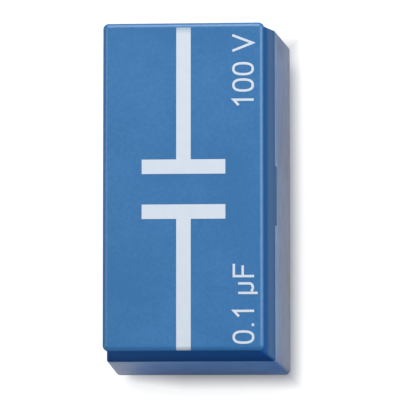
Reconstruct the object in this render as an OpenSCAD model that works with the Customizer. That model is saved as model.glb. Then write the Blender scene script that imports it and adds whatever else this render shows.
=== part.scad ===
// Plug-in capacitor element for a circuit board with 4 mm sockets.
// A blue cover with the printed circuit symbol snaps onto a clear base. Two sprung plugs are bolted
// through the base's floor, and the capacitor is strung between their solder lugs.
// Millimetres, +Z up. The origin lies on the seating face, midway between the plugs.
// +Y runs along the row of plugs, from the front plug to the rear one.

/* [Base housing] */
// Width of the foot, across the row of plugs
foot_w = 26.5; // [24:0.5:32]
// Length of the foot, along the row of plugs
foot_l = 50; // [46:0.5:60]
// Height from the seating face to the seam
base_h = 24.5; // [22:0.5:32]
// How far each wall leans in between the foot and the rim
base_draft = 1.1; // [0.6:0.1:1.4]
// Wall thickness at the rim
rim_wall = 1.8; // [1.5:0.1:2.2]
// Thickness of the floor
floor_t = 3.5; // [2.8:0.1:5]
// Corner radius at the foot
foot_corner_r = 0.85; // [0.45:0.05:2]
// Corner radius at the rim
rim_corner_r = 0.3; // [0.3:0.05:1.4]
// Rounding of the foot's lower edge
foot_edge_r = 0.4; // [0.2:0.1:0.7]
// Corner radius inside the base and the cover
pocket_corner_r = 1; // [0.6:0.1:2]
// Draft of the pockets, over their depth
core_draft = 0.15; // [0.05:0.05:0.3]

/* [Cover] */
// Height from the seam to the printed face
cover_h = 15.5; // [12:0.5:20]
// How far the printed face's long sides are set in from the base's rim
side_draft = 0.9; // [0.5:0.1:1.1]
// How far the printed face's ends are set in from the base's rim
end_draft = 1; // [0.5:0.1:1.2]
// Thickness of the top plate
plate_t = 2; // [1.6:0.1:3]
// Overhang of the top plate over the long sides of the skirt
side_lip = 0.5; // [0.2:0.1:0.8]
// Overhang of the top plate over the ends of the skirt
end_lip = 0.05; // [0.05:0.05:0.4]
// Corner radius of the top plate
plate_corner_r = 0.75; // [0.75:0.05:2]
// Rounding of the top plate's upper edge
plate_edge_r = 0.7; // [0.3:0.1:0.8]
// Corner radius of the skirt
skirt_corner_r = 0.35; // [0.3:0.05:1.5]

/* [Seam] */
// Ledge of the base's rim outside the cover
rim_step = 0.05; // [0:0.05:0.3]
// Rounding of the two edges that meet at the seam
seam_edge_r = 0.25; // [0.1:0.05:0.4]
// Depth of the cover's tongue inside the base
tongue_h = 4.5; // [3.5:0.5:8]
// Thickness of the tongue
tongue_t = 1.2; // [0.8:0.1:1.6]
// Length of the locating tab in the middle of each long side
tab_l = 8.4; // [6:0.2:12]
// Height of the locating tab
tab_h = 2.3; // [1.5:0.1:3]
// Radius of the snap beads on the tongue
bead_r = 0.6; // [0.4:0.1:0.8]
// How far a snap bead stands out of the tongue
bead_out = 0.3; // [0.2:0.05:0.35]
// Length of a snap bead
bead_l = 8; // [4:0.5:11]
// Distance along the rim from a tab to the next bead
bead_from_tab = 3; // [2:0.5:4]
// Height of the beads' axis above the end of the tongue
bead_rise = 1.5; // [1.2:0.1:2]
// Clearance between the cover and the base
snap_gap = 0.1; // [0.05:0.05:0.2]

/* [Printed symbol] */
// Width of the printed lines
line_w = 2; // [1:0.1:3]
// Length of the two printed plates
plate_line_l = 11.8; // [8:0.2:16]
// Gap between the two printed plates
plate_line_gap = 4.4; // [2:0.2:8]
// Thickness of the ink
ink_t = 0.05; // [0.03:0.01:0.1]

/* [Plugs] */
// Distance between the two plugs
plug_spacing = 19; // [17:0.5:22]
// Diameter of a plug
plug_d = 4; // [3:0.1:5]
// Length of a plug below the seating face
plug_l = 20; // [16:0.5:26]
// Length of the rounded nose
nose_l = 1.5; // [0.8:0.1:2.5]
// Diameter of the flat at the tip
nose_d = 1.8; // [1.4:0.1:2.4]
// Width of the cross slots that make the sprung fingers
slot_w = 0.6; // [0.4:0.1:0.9]
// Depth of the cross slots from the tip
slot_l = 14; // [8:0.5:15]
// Diameter of the collar under the floor
collar_d = 8; // [6.5:0.1:9]
// Thickness of the collar
collar_t = 1.2; // [0.8:0.1:1.6]
// Diameter of the threaded stud
stud_d = 4; // [3:0.1:4.5]
// Chamfer at the stud's end
stud_chamfer = 0.4; // [0.2:0.1:0.6]
// Length of stud that stands out of the nut
stud_over = 1.1; // [0.5:0.1:2]
// Radial clearance round the collar and the stud in the floor
floor_gap = 0.1; // [0.05:0.05:0.2]

/* [Terminal hardware] */
// Diameter of the flat washer
washer_d = 9; // [7.5:0.1:10]
// Thickness of the flat washer
washer_t = 0.8; // [0.5:0.1:1.2]
// Diameter of the solder lug's ring
lug_ring_d = 8; // [7:0.1:9]
// Thickness of the solder lug
lug_t = 0.5; // [0.3:0.1:0.8]
// Width of the solder lug's tongue
lug_w = 3.6; // [3:0.1:4.5]
// Inner radius of the solder lug's bend
lug_bend_r = 0.6; // [0.4:0.1:1]
// Clearance between the nut's corners and the lug's upright
lug_clear = 1.6; // [1.2:0.1:2.2]
// Diameter of the eyelet
eyelet_d = 1.5; // [1.2:0.1:2]
// Outer diameter of the split lock washer
lock_d = 7; // [6.2:0.1:7.6]
// Thickness of the lock washer
lock_t = 0.9; // [0.6:0.1:1.2]
// Width of the cut in the lock washer
lock_cut = 0.7; // [0.4:0.1:1]
// Width of the nut across its flats
nut_w = 7; // [6.5:0.1:8]
// Height of the nut
nut_h = 3.2; // [2.4:0.1:4]
// Radial clearance round the stud in the washers and the lug
stud_gap = 0.15; // [0.1:0.05:0.3]
// Radial clearance between the stud and the nut
thread_gap = 0.03; // [0.01:0.01:0.1]

/* [Capacitor] */
// Diameter of the wrapped capacitor
cap_d = 6.5; // [5:0.1:8]
// Length of the wrapped capacitor
cap_l = 14; // [10:0.5:20]
// Thickness of the wrap round the resin seals
wrap_t = 0.4; // [0.2:0.1:0.8]
// Rounding of the wrap's ends
wrap_edge = 0.2; // [0.1:0.05:0.3]
// Depth of the resin seal at each end
seal_depth = 1.2; // [0.8:0.1:2]
// How far the resin lies below the wrap's edge
seal_sink = 0.25; // [0.1:0.05:0.4]
// Clearance between the studs and the capacitor
cap_clear = 1.5; // [0.8:0.1:3]
// Diameter of the capacitor's leads
lead_d = 0.8; // [0.5:0.05:1]
// Length of lead that stands out of the solder lug
lead_over = 1.7; // [1.4:0.1:2.5]
// Radius of the solder round the eyelet
solder_r = 1.4; // [1.1:0.1:1.5]
// Length of the solder along the lead, on each side of the lug
solder_l = 1.2; // [0.8:0.1:1.3]

/* [Hidden] */

front = -1;
rear = 1;
round_fn = 48;
hull_fn = 32;
edge_steps = 4;
sliver = 0.01;
over = 1;

rim_w = foot_w - 2 * base_draft;
rim_l = foot_l - 2 * base_draft;
mouth_w = rim_w - 2 * rim_wall;
mouth_l = rim_l - 2 * rim_wall;
seat_w = rim_w - 2 * rim_step;
seat_l = rim_l - 2 * rim_step;
face_w = rim_w - 2 * side_draft;
face_l = rim_l - 2 * end_draft;
neck_w = face_w - 2 * side_lip;
neck_l = face_l - 2 * end_lip;
top_z = base_h + cover_h;
plate_z = top_z - plate_t;
tongue_z = base_h - tongue_h;
tongue_shift = pocket_inset(tongue_z) + snap_gap;
tongue_w = mouth_w - 2 * tongue_shift;
tongue_l = mouth_l - 2 * tongue_shift;
bead_z = tongue_z + bead_rise;
bead_y = tab_l / 2 + bead_from_tab + bead_l / 2;
bead_x = mouth_w / 2 - pocket_inset(bead_z) - snap_gap + bead_out - bead_r;
lean = base_draft / base_h;

washer_z = floor_t;
lug_z = washer_z + washer_t;
lock_z = lug_z + lug_t;
nut_z = lock_z + lock_t;
stud_top = nut_z + nut_h + stud_over;
nut_corner_r = nut_w / sqrt(3);
upright_y = nut_corner_r + lug_clear;
lug_flat_l = upright_y - lug_bend_r;
bend_z = lug_z + lug_t + lug_bend_r;
clear_hole_d = stud_d + 2 * stud_gap;
lead_z = stud_top + cap_clear + cap_d / 2;
lug_mid_y = plug_spacing / 2 + upright_y + lug_t / 2;
lead_end_y = lug_mid_y + lug_t / 2 + lead_over;
seal_foot_y = cap_l / 2 - seal_depth;

// Inset of the base's pocket from its mouth, at a height
function pocket_inset(z) = core_draft * (base_h - z) / (base_h - floor_t);

// Inset and rise of a quarter-round edge of radius r, at each step from its side to its flat
function edge_inset(r, i) = r * (1 - cos(90 * i / edge_steps));
function edge_rise(r, i) = r * sin(90 * i / edge_steps);

// Four corner posts that mark one level of a rounded box, or a straight stretch of it
module level(w, l, r, z, h = sliver)
    for (sx = [-1, 1], sy = [-1, 1])
        translate([sx * (w / 2 - r), sy * (l / 2 - r), z])
            cylinder(r = r, h = h, $fn = hull_fn);

// The levels of a rounded edge that turns from a side at height z towards a flat, up or down
module edge_levels(w, l, corner_r, edge_r, z, up, first = 0)
    for (i = [first : edge_steps]) {
        inset = edge_inset(edge_r, i);
        level(w - 2 * inset, l - 2 * inset, corner_r - min(inset, corner_r - sliver),
              z + up * edge_rise(edge_r, i) - (up > 0 ? sliver : 0));
    }

// A ring or disc between two radii, standing on height z
module ring(outer_d, inner_d, z, h)
    translate([0, 0, z])
        difference() {
            cylinder(d = outer_d, h = h, $fn = round_fn);
            translate([0, 0, -over])
                cylinder(d = inner_d, h = h + 2 * over, $fn = round_fn);
        }

// Puts a piece on one plug's axis, with the piece's own +Y pointing away from the other plug
module at_plug(side)
    rotate([0, 0, side > 0 ? 0 : 180])
        translate([0, plug_spacing / 2, 0])
            children();

// Puts a turned piece on the leads' axis, with its own +Z pointing to the front or the rear
module on_lead_axis(side)
    rotate([0, 0, side > 0 ? 0 : 180])
        translate([0, 0, lead_z])
            rotate([-90, 0, 0])
                children();

// The skirt and the top plate, before they are hollowed
module cover_block() {
    hull() {
        edge_levels(seat_w, seat_l, skirt_corner_r, seam_edge_r, base_h + seam_edge_r, -1);
        level(neck_w, neck_l, skirt_corner_r, plate_z + sliver);
    }
    hull() {
        level(face_w, face_l, plate_corner_r, plate_z, plate_t - plate_edge_r);
        edge_levels(face_w, face_l, plate_corner_r, plate_edge_r, top_z - plate_edge_r, 1, first = 1);
    }
}

// The tongue that enters the base
module tongue()
    hull() {
        level(tongue_w, tongue_l, pocket_corner_r, tongue_z);
        level(mouth_w - 2 * snap_gap, mouth_l - 2 * snap_gap, pocket_corner_r, base_h, over);
    }

// A locating tab: the skirt's outer wall carried down into the base's notch
module tab(side) {
    outer_x = seat_w / 2;
    inner_x = tongue_w / 2 - tongue_t / 2;
    low_z = base_h - tab_h;
    rotate([90, 0, side > 0 ? 0 : 180])
        translate([0, 0, -tab_l / 2])
            linear_extrude(tab_l)
                polygon([[inner_x, low_z],
                         [outer_x + lean * tab_h - seam_edge_r, low_z],
                         [outer_x + lean * (tab_h - seam_edge_r), low_z + seam_edge_r],
                         [outer_x, base_h],
                         [outer_x, base_h + seam_edge_r],
                         [inner_x, base_h + seam_edge_r]]);
}

// The snap beads of both long sides, grown by a clearance where they cut the base
module beads(grow)
    for (sx = [-1, 1], sy = [-1, 1])
        translate([sx * bead_x, sy * bead_y, bead_z])
            rotate([90, 0, 0])
                cylinder(r = bead_r + grow, h = bead_l + 2 * grow, center = true, $fn = round_fn);

// The blue cover: top plate with a lip, flared skirt, tongue, tabs and beads
module cover()
    color([0.25, 0.46, 0.68])
        difference() {
            union() {
                cover_block();
                tongue();
                tab(-1);
                tab(1);
                beads(0);
            }
            hull() {
                level(tongue_w - 2 * tongue_t, tongue_l - 2 * tongue_t, pocket_corner_r, tongue_z - over, over);
                level(tongue_w - 2 * (tongue_t + core_draft), tongue_l - 2 * (tongue_t + core_draft),
                      pocket_corner_r, plate_z - sliver);
            }
        }

// The printed circuit symbol: two plates, each with a line that runs to the end of the face
module printed_symbol() {
    near_y = plate_line_gap / 2;
    far_y = near_y + line_w;
    end_y = face_l / 2 - plate_edge_r;
    color([0.9, 0.92, 0.94])
        for (turn = [0, 180])
            rotate([0, 0, turn])
                translate([0, 0, top_z])
                    linear_extrude(ink_t)
                        polygon([[-plate_line_l / 2, near_y], [plate_line_l / 2, near_y],
                                 [plate_line_l / 2, far_y], [line_w / 2, far_y],
                                 [line_w / 2, end_y], [-line_w / 2, end_y],
                                 [-line_w / 2, far_y], [-plate_line_l / 2, far_y]]);
}

// The clear base: drafted walls, a floor for the plugs, and a rim with notches and grooves for the cover
module base_housing() {
    notch_z = base_h - tab_h - snap_gap;
    color([0.55, 0.6, 0.68, 0.5])
        difference() {
            hull() {
                edge_levels(foot_w, foot_l, foot_corner_r, foot_edge_r, foot_edge_r, -1);
                edge_levels(rim_w, rim_l, rim_corner_r, seam_edge_r, base_h - seam_edge_r, 1);
            }
            hull() {
                level(mouth_w - 2 * core_draft, mouth_l - 2 * core_draft, pocket_corner_r, floor_t);
                level(mouth_w, mouth_l, pocket_corner_r, base_h, over);
            }
            for (side = [-1, 1])
                translate([side * foot_w / 2, 0, notch_z + tab_h])
                    cube([foot_w / 2, tab_l + 2 * snap_gap, 2 * tab_h], center = true);
            beads(snap_gap);
            for (side = [front, rear])
                at_plug(side) {
                    translate([0, 0, -over])
                        cylinder(d = collar_d + 2 * floor_gap, h = collar_t + over, $fn = round_fn);
                    cylinder(d = stud_d + 2 * floor_gap, h = floor_t + over, $fn = round_fn);
                }
        }
}

// A turned plug: rounded nose, slotted shank, collar and stud
module plug_pin(side)
    color([0.78, 0.77, 0.74])
        at_plug(side)
            difference() {
                rotate_extrude($fn = round_fn)
                    polygon(concat(
                        [[0, -plug_l]],
                        [for (i = [0 : edge_steps])
                            [nose_d / 2 + (plug_d - nose_d) / 2 * sin(90 * i / edge_steps),
                             nose_l * (1 - cos(90 * i / edge_steps)) - plug_l]],
                        [[plug_d / 2, 0], [collar_d / 2, 0], [collar_d / 2, collar_t],
                         [stud_d / 2, collar_t], [stud_d / 2, stud_top - stud_chamfer],
                         [stud_d / 2 - stud_chamfer, stud_top], [0, stud_top]]));
                for (turn = [45, 135])
                    rotate([0, 0, turn])
                        translate([0, 0, slot_l / 2 - plug_l - over / 2])
                            cube([plug_d + 2 * over, slot_w, slot_l + over], center = true);
            }

// The flat washer on the floor
module flat_washer(side)
    color([0.72, 0.72, 0.7])
        at_plug(side)
            ring(washer_d, clear_hole_d, washer_z, washer_t);

// The solder lug: a ring under the nut, with a tongue bent up to an eyelet on the lead
module solder_lug(side)
    color([0.8, 0.78, 0.7])
        at_plug(side) {
            translate([0, 0, lug_z])
                linear_extrude(lug_t)
                    difference() {
                        union() {
                            circle(d = lug_ring_d, $fn = round_fn);
                            translate([-lug_w / 2, 0])
                                square([lug_w, lug_flat_l]);
                        }
                        circle(d = clear_hole_d, $fn = round_fn);
                    }
            translate([0, lug_flat_l, bend_z])
                rotate([0, 90, 0])
                    rotate_extrude(angle = 90, $fn = round_fn)
                        translate([lug_bend_r, -lug_w / 2])
                            square([lug_t, lug_w]);
            translate([0, upright_y + lug_t, 0])
                rotate([90, 0, 0])
                    linear_extrude(lug_t)
                        difference() {
                            union() {
                                translate([-lug_w / 2, bend_z])
                                    square([lug_w, lead_z - bend_z]);
                                translate([0, lead_z])
                                    circle(d = lug_w, $fn = round_fn);
                            }
                            translate([0, lead_z])
                                circle(d = eyelet_d, $fn = round_fn);
                        }
        }

// The split lock washer under the nut
module lock_washer(side)
    color([0.6, 0.6, 0.6])
        at_plug(side)
            difference() {
                ring(lock_d, clear_hole_d, lock_z, lock_t);
                rotate([0, 0, 60])
                    translate([0, -lock_cut / 2, lock_z - over])
                        cube([lock_d, lock_cut, lock_t + 2 * over]);
            }

// The hexagon nut, with its corners and its mouth chamfered
module hex_nut(side) {
    bore_r = stud_d / 2 + thread_gap;
    corner_drop = (nut_corner_r - nut_w / 2) * tan(30);
    color([0.75, 0.74, 0.72])
        at_plug(side)
            translate([0, 0, nut_z])
                difference() {
                    intersection() {
                        rotate([0, 0, 30])
                            cylinder(r = nut_corner_r, h = nut_h, $fn = 6);
                        rotate_extrude($fn = round_fn)
                            polygon([[0, 0], [nut_w / 2, 0], [nut_corner_r, corner_drop],
                                     [nut_corner_r, nut_h - corner_drop], [nut_w / 2, nut_h], [0, nut_h]]);
                    }
                    translate([0, 0, -over])
                        cylinder(r = bore_r, h = nut_h + 2 * over, $fn = round_fn);
                    translate([0, 0, nut_h - stud_chamfer])
                        cylinder(r1 = bore_r, r2 = bore_r + stud_chamfer, h = stud_chamfer + sliver,
                                 $fn = round_fn);
                }
}

// The wrapped capacitor, sealed, with a shallow pocket for resin at each end
module capacitor_body() {
    cap_r = cap_d / 2;
    seal_r = cap_r - wrap_t;
    half = cap_l / 2;
    color([0.93, 0.76, 0.2])
        on_lead_axis(rear)
            rotate_extrude($fn = round_fn)
                polygon([[0, -seal_foot_y], [seal_r, -seal_foot_y], [seal_r, -half],
                         [cap_r - wrap_edge, -half], [cap_r, wrap_edge - half],
                         [cap_r, half - wrap_edge], [cap_r - wrap_edge, half],
                         [seal_r, half], [seal_r, seal_foot_y], [0, seal_foot_y]]);
}

// The resin that closes one end of the wrap, round the lead
module end_seal(side)
    color([0.8, 0.6, 0.2])
        on_lead_axis(side)
            ring(cap_d - 2 * wrap_t, lead_d, seal_foot_y, seal_depth - seal_sink);

// A straight lead, from the capacitor's winding through the resin and the eyelet
module capacitor_lead(side)
    color([0.82, 0.82, 0.8])
        on_lead_axis(side)
            translate([0, 0, seal_foot_y])
                cylinder(d = lead_d, h = lead_end_y - seal_foot_y, $fn = round_fn);

// The solder that fills the eyelet and fillets onto the lead on both sides
module solder_joint(side) {
    lead_r = lead_d / 2;
    tail_r = lead_r + solder_l / 12;
    function fillet(t) = [tail_r + (solder_r - tail_r) * pow(1 - t, 2), lug_t / 2 + solder_l * t];
    steps = [for (i = [0 : edge_steps]) i / edge_steps];
    color([0.7, 0.71, 0.72])
        on_lead_axis(side)
            translate([0, 0, lug_mid_y])
                rotate_extrude($fn = round_fn)
                    polygon(concat(
                        [[lead_r, -lug_t / 2 - solder_l]],
                        [for (i = [edge_steps : -1 : 0]) [fillet(steps[i])[0], -fillet(steps[i])[1]]],
                        [[eyelet_d / 2, -lug_t / 2], [eyelet_d / 2, lug_t / 2]],
                        [for (t = steps) fillet(t)],
                        [[lead_r, lug_t / 2 + solder_l]]));
}

cover();
printed_symbol();
base_housing();
plug_pin(front);  // plug_pin_front
plug_pin(rear);  // plug_pin_rear
flat_washer(front);  // flat_washer_front
flat_washer(rear);  // flat_washer_rear
solder_lug(front);  // solder_lug_front
solder_lug(rear);  // solder_lug_rear
lock_washer(front);  // lock_washer_front
lock_washer(rear);  // lock_washer_rear
hex_nut(front);  // hex_nut_front
hex_nut(rear);  // hex_nut_rear
capacitor_body();
end_seal(front);  // end_seal_front
end_seal(rear);  // end_seal_rear
capacitor_lead(front);  // capacitor_lead_front
capacitor_lead(rear);  // capacitor_lead_rear
solder_joint(front);  // solder_joint_front
solder_joint(rear);  // solder_joint_rear
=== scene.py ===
"""Plug-in capacitor element, dressed and photographed from above.

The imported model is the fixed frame. Smooth moulded surfaces of the same sizes replace the two housings, the
print follows the rounded edge of the printed face, and every other piece keeps its solid and gets a finish of
its own. Lengths are millimetres until a mesh is made.
"""

import logging
import math
from dataclasses import dataclass, field
from enum import Enum
from typing import Any, Callable

import bpy
import numpy as np
from mathutils import Matrix, Vector


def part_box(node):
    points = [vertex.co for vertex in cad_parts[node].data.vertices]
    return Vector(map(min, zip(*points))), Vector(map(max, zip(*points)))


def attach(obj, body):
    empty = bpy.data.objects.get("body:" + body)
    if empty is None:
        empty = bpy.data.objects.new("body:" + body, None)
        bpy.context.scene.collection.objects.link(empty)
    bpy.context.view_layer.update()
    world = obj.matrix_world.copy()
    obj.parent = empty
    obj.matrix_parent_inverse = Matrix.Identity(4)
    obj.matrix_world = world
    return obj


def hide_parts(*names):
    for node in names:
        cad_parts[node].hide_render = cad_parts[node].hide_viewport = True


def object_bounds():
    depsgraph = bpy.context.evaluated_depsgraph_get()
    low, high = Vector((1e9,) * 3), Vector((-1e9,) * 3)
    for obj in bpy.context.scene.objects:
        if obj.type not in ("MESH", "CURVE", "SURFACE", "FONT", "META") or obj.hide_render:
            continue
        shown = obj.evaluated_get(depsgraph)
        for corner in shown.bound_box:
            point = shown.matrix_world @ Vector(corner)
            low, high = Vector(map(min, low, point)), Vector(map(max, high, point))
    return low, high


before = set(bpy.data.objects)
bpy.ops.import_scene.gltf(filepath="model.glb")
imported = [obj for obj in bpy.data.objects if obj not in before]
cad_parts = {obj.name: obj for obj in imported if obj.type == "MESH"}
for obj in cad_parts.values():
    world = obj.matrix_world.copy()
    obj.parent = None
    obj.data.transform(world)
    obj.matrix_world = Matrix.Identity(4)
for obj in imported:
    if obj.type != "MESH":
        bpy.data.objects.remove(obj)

CAD_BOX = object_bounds()
LOG = logging.getLogger("capacitor_element")
BODY = "root"
MM = 0.001
SHARP_DEG = 32.0
TURN = 2 * np.pi

Array = np.ndarray
Colour = tuple[float, float, float]


class End(Enum):
    """The two ends of the element, along the row of plugs."""

    FRONT = -1
    REAR = 1

    @property
    def word(self) -> str:
        """The end's name as the nodes spell it."""
        return self.name.lower()


class Slot(Enum):
    """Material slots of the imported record."""

    BLUE = "blue_plastic"
    INK = "white_ink"
    CLEAR = "clear_plastic"
    NICKEL = "nickel"
    ZINC = "zinc_steel"
    BRASS = "tinned_brass"
    WRAP = "yellow_wrap"
    RESIN = "resin"
    WIRE = "tinned_wire"
    SOLDER = "solder"


def box_mm(node: str) -> tuple[Array, Array]:
    """Corners of a CAD node's box: the lowest and the highest, in millimetres."""
    low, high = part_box(node)
    return np.array(low) / MM, np.array(high) / MM


def middle_mm(node: str) -> Array:
    """Middle of a CAD node's box, in millimetres."""
    return np.mean(box_mm(node), axis=0)


def top_field(node: str, axis: Any) -> Any:
    """A field that defaults to the highest corner of a CAD node's box, along one axis or several."""
    return field(default_factory=lambda: box_mm(node)[1][axis])


def foot_field(node: str) -> Any:
    """A field that defaults to the lowest height of a CAD node's box."""
    return field(default_factory=lambda: box_mm(node)[0][2])


# Surfaces


class Patchwork:
    """The surface of one piece, gathered patch by patch from grids of points."""

    def __init__(self) -> None:
        """Starts with no points and no faces."""
        self.points: list[Array] = []
        self.faces: list[list[int]] = []
        self.count = 0

    def add_points(self, points: Array) -> Array:
        """Adds a grid of points.

        Args:
            points: Coordinates, the last axis of length 3.

        Returns:
            The points' numbers, on the same grid.
        """
        flat = points.reshape(-1, 3)
        numbers = self.count + np.arange(len(flat))
        self.points.append(flat)
        self.count += len(flat)
        return numbers.reshape(points.shape[:-1])

    def add_quads(self, *corners: Array) -> None:
        """Adds a quad for each four corner numbers that lie at the same place of four like arrays."""
        self.faces += np.stack(corners, axis=-1).reshape(-1, 4).tolist()

    def add_skin(self, numbers: Array) -> None:
        """Joins a numbered grid's neighbours by quads, whose outside is columns crossed with rows."""
        self.add_quads(numbers[:-1, :-1], numbers[:-1, 1:], numbers[1:, 1:], numbers[1:, :-1])

    def add_loft(self, rings: Array, looped: bool = False) -> Array:
        """Adds closed rings and the skin from each ring to the next.

        Args:
            rings: Points, rings by columns by 3.
            looped: Whether the last ring joins the first.

        Returns:
            The points' numbers, rings by columns.
        """
        numbers = self.add_points(rings)
        closed = np.concatenate([numbers, numbers[:, :1]], axis=1)
        self.add_skin(np.concatenate([closed, closed[:1]]) if looped else closed)
        return numbers

    def add_face(self, numbers: Array) -> None:
        """Adds one flat face through numbered points."""
        self.faces.append(np.asarray(numbers).tolist())

    def add_bar(self, rings: Array) -> None:
        """Adds a closed bar: a loft with a flat face at both ends.

        Args:
            rings: Points, rings by columns by 3.
        """
        numbers = self.add_loft(rings)
        self.add_face(numbers[0, ::-1])
        self.add_face(numbers[-1])

    def add_slab(self, top: Array, bottom: Array, cells: Array) -> None:
        """Adds a thin closed slab over the marked cells of a grid, with walls where a neighbour isn't marked.

        Args:
            top: Upper points, rows along Y by columns along X by 3.
            bottom: Lower points, on the same grid.
            cells: Marks, one row and one column fewer than the points.
        """
        upper = self.add_points(top)
        lower = self.add_points(bottom)
        low_low, low_high = np.s_[:-1, :-1], np.s_[:-1, 1:]
        high_high, high_low = np.s_[1:, 1:], np.s_[1:, :-1]
        around = np.pad(cells, 1)
        self.add_quads(*(upper[c][cells] for c in (low_low, low_high, high_high, high_low)))
        self.add_quads(*(lower[c][cells] for c in (low_low, high_low, high_high, low_high)))
        walls = (
            (around[1:-1, :-2], low_low, high_low),
            (around[1:-1, 2:], high_high, low_high),
            (around[:-2, 1:-1], low_high, low_low),
            (around[2:, 1:-1], high_low, high_high),
        )
        for neighbour, start, stop in walls:
            bare = cells & ~neighbour
            self.add_quads(upper[start][bare], upper[stop][bare], lower[stop][bare], lower[start][bare])

    def to_object(self, name: str) -> bpy.types.Object:
        """Makes the piece, smooth but for its sharp edges, and lets it ride on the part.

        Args:
            name: Name of the piece.

        Returns:
            The new object, at the origin.
        """
        points = np.concatenate(self.points)
        used = np.zeros(len(points), dtype=bool)
        used[np.concatenate(self.faces).astype(int)] = True
        renumbered = np.cumsum(used) - 1
        faces = [renumbered[face].tolist() for face in self.faces]
        mesh = bpy.data.meshes.new(name)
        mesh.from_pydata((points[used] * MM).tolist(), [], faces)
        mesh.polygons.foreach_set("use_smooth", np.ones(len(mesh.polygons), dtype=bool))
        mesh.set_sharp_from_angle(angle=math.radians(SHARP_DEG))
        mesh.update()
        piece = bpy.data.objects.new(name, mesh)
        bpy.context.scene.collection.objects.link(piece)
        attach(piece, BODY)
        return piece


class Outline:
    """Columns of a rounded rectangle, shared by all the levels of a moulded housing.

    On a level of half width a, half length b and corner radius r, a corner's columns lie at (a - r, b - r)
    plus r times the cosine and sine of an angle that sweeps a quarter turn. The sides between the corners
    carry columns at fixed places. So a column's X is a, r and 1, each times a number of its own, and its Y is
    b, r and 1 likewise.
    """

    CORNER_SIGNS = ((1, 1), (-1, 1), (-1, -1), (1, -1))
    END_X = np.zeros(1)

    def __init__(self, side_y: Array, corner_steps: int = 10) -> None:
        """Lays out the columns anticlockwise from the low end of the +X side, with one amid each end.

        Args:
            side_y: Rising places along Y of the columns on both long sides.
            corner_steps: Steps in each corner.
        """
        sweep = np.linspace(0, np.pi / 2, corner_steps + 1)
        sides = (
            self._columns(x_half=1, y_fixed=side_y),
            self._columns(y_half=1, x_fixed=self.END_X),
            self._columns(x_half=-1, y_fixed=side_y[::-1]),
            self._columns(y_half=-1, x_fixed=self.END_X),
        )
        spans = []
        for turn, (side, (sign_x, sign_y)) in enumerate(zip(sides, self.CORNER_SIGNS)):
            angle = sweep + turn * np.pi / 2
            corner = self._columns(sign_x, np.cos(angle) - sign_x, 0, sign_y, np.sin(angle) - sign_y, 0)
            spans += [side, corner]
        columns = np.concatenate(spans, axis=1)
        self.x_half, self.x_round, self.x_fixed, self.y_half, self.y_round, self.y_fixed = columns

    @staticmethod
    def _columns(x_half: Any = 0, x_round: Any = 0, x_fixed: Any = 0,
                 y_half: Any = 0, y_round: Any = 0, y_fixed: Any = 0) -> Array:
        """Six rows with the columns' own numbers, each given once or column by column."""
        rows = np.broadcast_arrays(x_half, x_round, x_fixed, y_half, y_round, y_fixed)
        return np.stack(rows).astype(float)

    def levels(self, stations: Array) -> Array:
        """Draws the outline at each station.

        Args:
            stations: Rows that start with half width, half length, corner radius and height.

        Returns:
            Points, stations by columns by 3.
        """
        half_w, half_l, radius, height = (column[:, None] for column in stations.T[:4])
        x = half_w * self.x_half + radius * self.x_round + self.x_fixed
        y = half_l * self.y_half + radius * self.y_round + self.y_fixed
        return np.stack([x, y, height + 0 * x], axis=-1)

    def on_sides(self, low: float, high: float) -> Array:
        """Marks the long sides' columns between two distances from the middle, by their side's sign."""
        reach = np.abs(self.y_fixed)
        return self.x_half * ((self.y_half == 0) & (reach >= low) & (reach <= high))

    def end_middle(self, end: End) -> int:
        """Number of the column in the middle of one end."""
        found = (self.y_half == end.value) & (self.x_half == 0) & (self.x_fixed == 0)
        return int(np.flatnonzero(found)[0])


LEAST_R = 0.02
SUPPORT_GAP = 0.06
LONG_RUN = 4 * SUPPORT_GAP
STEP_GAP = 0.01


def level(half: Array, corner_r: float, height: float, drop: float = 0, bead: float = 0) -> Array:
    """One station of a housing: half sizes, corner radius, height, and shares in the tabs and the beads."""
    return np.array([[half[0], half[1], corner_r, height, drop, bead]], dtype=float)


def rounded_edge(half: Array, corner_r: float, edge_r: float, height: float, start: float, stop: float,
                 drop: float = 0, steps: int = 6) -> Array:
    """Stations of a rounded edge.

    Each is set in from the half sizes by the edge's radius times one minus the cosine of an angle, and lies
    above the height of the edge's centre by the radius times its sine.

    Args:
        half: Half sizes at the edge's widest.
        corner_r: Corner radius there.
        edge_r: Radius of the edge.
        height: Height of its centre.
        start: First angle in degrees, 0 at the widest and 90 on top.
        stop: Last angle.
        drop: Share in the tabs.
        steps: Steps from first to last.

    Returns:
        Stations, one to a row.
    """
    angle = np.radians(np.linspace(start, stop, steps + 1))
    inset = edge_r * (1 - np.cos(angle))
    rise = height + edge_r * np.sin(angle)
    corner = np.maximum(corner_r - inset, LEAST_R)
    rows = np.broadcast_arrays(half[0] - inset, half[1] - inset, corner, rise, drop, 0)
    return np.stack(rows, axis=-1)


def supported(stations: Array) -> Array:
    """Adds stations close to both ends of each long straight run, so that flats stay flat beside round edges.

    Args:
        stations: Stations, one to a row.

    Returns:
        Those stations with the added ones between them.
    """
    step = np.diff(stations, axis=0)
    run = np.linalg.norm(step[:, :4], axis=1)
    is_long = run > LONG_RUN
    share = (SUPPORT_GAP / np.maximum(run, SUPPORT_GAP))[:, None]
    rows = np.stack([stations[:-1], stations[:-1] + share * step, stations[1:] - share * step], axis=1)
    keep = np.stack([np.ones_like(is_long), is_long, is_long], axis=1)
    return np.concatenate([rows[keep], stations[-1:]])


def stepped_columns(*edges: float) -> Array:
    """Rising places along a side with a close pair of columns at each edge, on both sides of the middle."""
    places = np.array([edge + side for edge in edges for side in (-STEP_GAP, STEP_GAP)])
    return np.sort(np.concatenate([-places, places]))


# Shaders

NOISE_MEAN = 0.5
STEP_GAIN = 1.0e6


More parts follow.
